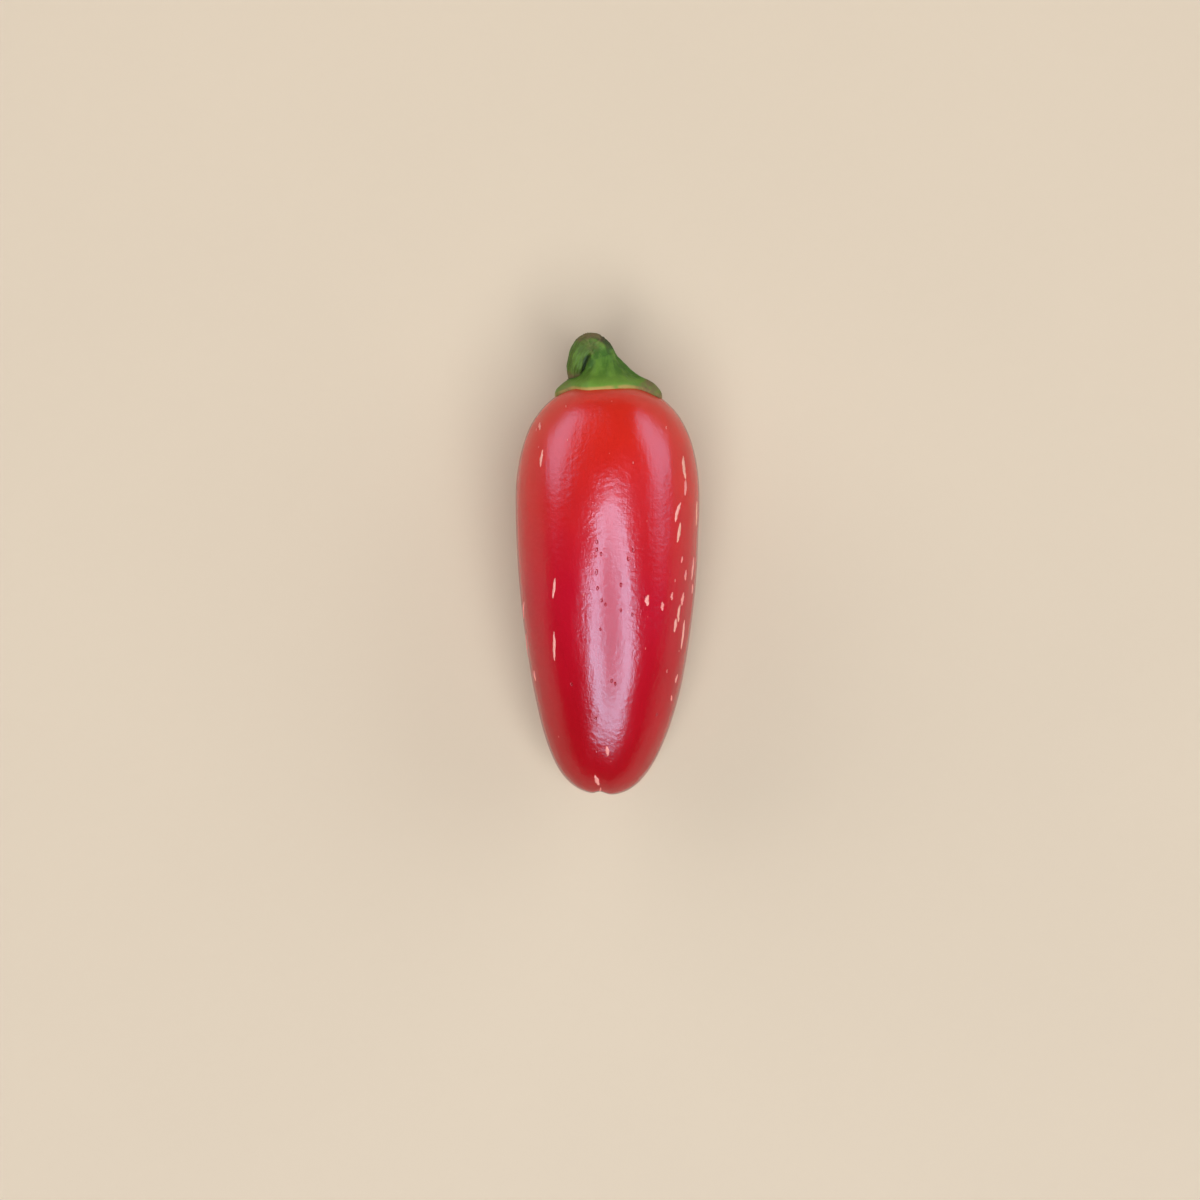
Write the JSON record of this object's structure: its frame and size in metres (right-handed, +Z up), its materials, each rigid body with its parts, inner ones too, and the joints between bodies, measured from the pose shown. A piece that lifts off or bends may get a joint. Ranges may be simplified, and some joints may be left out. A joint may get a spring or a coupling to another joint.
{
  "type": "chilli pepper",
  "caption": "Fresh ripe chilli pepper lying on its side: a blunt glossy pod with a toothed green calyx and a folded stalk stub.",
  "frame": {"origin": "on the surface that the pepper lies on, under the middle of the whole pepper's box", "axes": "+Z up, +Y along the pod's length towards the stalk, +X to the right seen from above with the stalk at the top"},
  "size_m": [0.0256, 0.0644, 0.0254],
  "materials": {
    "pod_skin": "smooth waxy skin, strongly glossy",
    "calyx_green": "satin leaf surface with fine ribs"
  },
  "bodies": {
    "root": {"pod": "pod_skin", "calyx_and_stalk": "calyx_green"}
  },
  "joints": []
}
